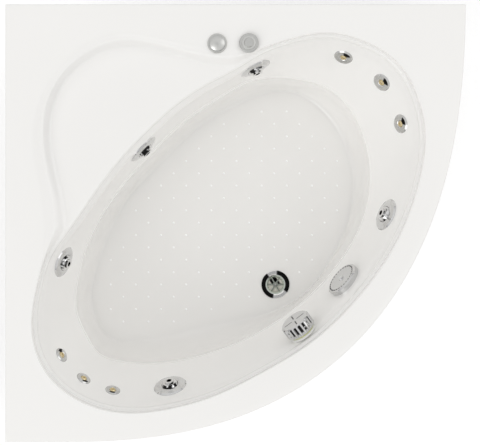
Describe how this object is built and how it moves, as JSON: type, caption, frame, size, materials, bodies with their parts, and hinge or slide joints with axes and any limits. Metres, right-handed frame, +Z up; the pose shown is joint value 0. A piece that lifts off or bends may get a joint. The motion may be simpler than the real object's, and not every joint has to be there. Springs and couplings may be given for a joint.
{
  "type": "corner bathtub",
  "caption": "Quarter-round corner bath with water jets: white shell with a corner seat and an oval bowl, jets, overflow knob, pump, pipes, steel frame and curved front panel.",
  "frame": {"origin": "on the floor, under the middle of the plan box", "axes": "+X along the back wall, away from the wall corner; +Y towards the back wall; +Z up"},
  "size_m": [1.2498, 1.1882, 0.65],
  "materials": {
    "acrylic": "gloss",
    "panel": "gloss",
    "board": "raw",
    "frame_paint": "satin",
    "zinc": "satin",
    "rubber": "matte",
    "chrome": "polished",
    "brass": "satin",
    "pipe_plastic": "satin",
    "seal": "satin",
    "hose": "satin",
    "cord": "matte",
    "pump_plastic": "matte",
    "motor_paint": "satin",
    "box_plastic": "satin"
  },
  "bodies": {
    "tub": {"bath_shell": "acrylic", "base_board": "board", "front_panel": "panel", "support_frame": "frame_paint", "foot_rods": "zinc", "foot_locknuts": "zinc", "foot_pads": "rubber", "wall_brackets": "frame_paint", "panel_brackets": "frame_paint", "jet_bodies": "pipe_plastic", "jet_nuts": "pipe_plastic", "back_jet_faces": "chrome", "foot_jet_faces": "chrome", "small_jet_nozzles": "brass", "small_jet_bodies": "pipe_plastic", "small_jet_nuts": "pipe_plastic", "suction_cover": "chrome", "suction_screw": "chrome", "suction_body": "pipe_plastic", "suction_nut": "pipe_plastic", "overflow_rosette": "pipe_plastic", "overflow_seal": "seal", "overflow_body": "pipe_plastic", "waste_flange": "chrome", "waste_gasket": "rubber", "waste_body": "pipe_plastic", "trap": "pipe_plastic", "trap_nut": "pipe_plastic", "overflow_hose": "hose", "overflow_cable": "cord", "start_button_body": "chrome", "air_knob_body": "chrome", "rim_control_nuts": "pipe_plastic", "shell_gaskets": "rubber", "manifold_pipes": "pipe_plastic", "pump_volute": "pump_plastic", "pump_motor": "motor_paint", "pump_base": "board", "control_box": "box_plastic", "cable_gland": "cord", "motor_lead": "cord", "suction_pipe": "pipe_plastic", "air_hose": "hose", "button_air_tube": "hose", "jet_ring_1": "chrome", "jet_ring_2": "chrome", "jet_ring_3": "chrome", "jet_ring_4": "chrome", "jet_ring_5": "chrome"},
    "nozzle_1": {"jet_nozzle_1": "chrome"},
    "nozzle_2": {"jet_nozzle_2": "chrome"},
    "nozzle_3": {"jet_nozzle_3": "chrome"},
    "nozzle_4": {"jet_nozzle_4": "chrome"},
    "nozzle_5": {"jet_nozzle_5": "chrome"},
    "knob": {"overflow_knob": "chrome"},
    "lift_pin": {"waste_lift_pin": "zinc"},
    "button": {"start_button": "chrome"},
    "regulator": {"air_knob": "chrome"},
    "rotor": {"pump_rotor": "pump_plastic"}
  },
  "joints": [
    {"name": "nozzle_1_tilt", "type": "hinge", "parent": "tub", "child": "nozzle_1", "pos_m": [0.05429, 0.43684, 0.51492], "axis": [0.9099, 0.4149, 0], "range_deg": [-15, 15]},
    {"name": "nozzle_2_tilt", "type": "hinge", "parent": "tub", "child": "nozzle_2", "pos_m": [-0.26023, 0.20865, 0.51494], "axis": [0.6962, 0.7179, 0], "range_deg": [-15, 15]},
    {"name": "nozzle_3_tilt", "type": "hinge", "parent": "tub", "child": "nozzle_3", "pos_m": [-0.48544, -0.10853, 0.51483], "axis": [0.3359, 0.9419, 0], "range_deg": [-15, 15]},
    {"name": "nozzle_4_tilt", "type": "hinge", "parent": "tub", "child": "nozzle_4", "pos_m": [0.42522, 0.02259, 0.51479], "axis": [-0.3532, -0.9356, 0], "range_deg": [-15, 15]},
    {"name": "nozzle_5_tilt", "type": "hinge", "parent": "tub", "child": "nozzle_5", "pos_m": [-0.18343, -0.45984, 0.51476], "axis": [-0.9831, -0.1829, 0], "range_deg": [-15, 15]},
    {"name": "knob_turn", "type": "hinge", "parent": "tub", "child": "knob", "pos_m": [0.18822, -0.30365, 0.55782], "axis": [-0.5745, 0.763, 0.2965], "range_deg": [0, 90]},
    {"name": "pin_lift", "type": "slide", "parent": "tub", "child": "lift_pin", "axis": [0, 0, 1], "range_m": [0, 0.01]},
    {"name": "button_press", "type": "slide", "parent": "tub", "child": "button", "axis": [0, 0, 1], "range_m": [-0.004, 0], "stiffness_N_per_m": 2500, "springref_m": 0.003},
    {"name": "regulator_turn", "type": "hinge", "parent": "tub", "child": "regulator", "pos_m": [0.036, 0.487, 0.63], "axis": [0, 0, 1], "range_deg": [-180, 0]},
    {"name": "rotor_spin", "type": "hinge", "parent": "tub", "child": "rotor", "pos_m": [-0.18052, 0.36677, 0.112], "axis": [1, 0, 0], "continuous": true}
  ],
  "couplings": [
    {"joint": "pin_lift", "follows": "knob_turn", "m_per_rad": 0.006366}
  ]
}
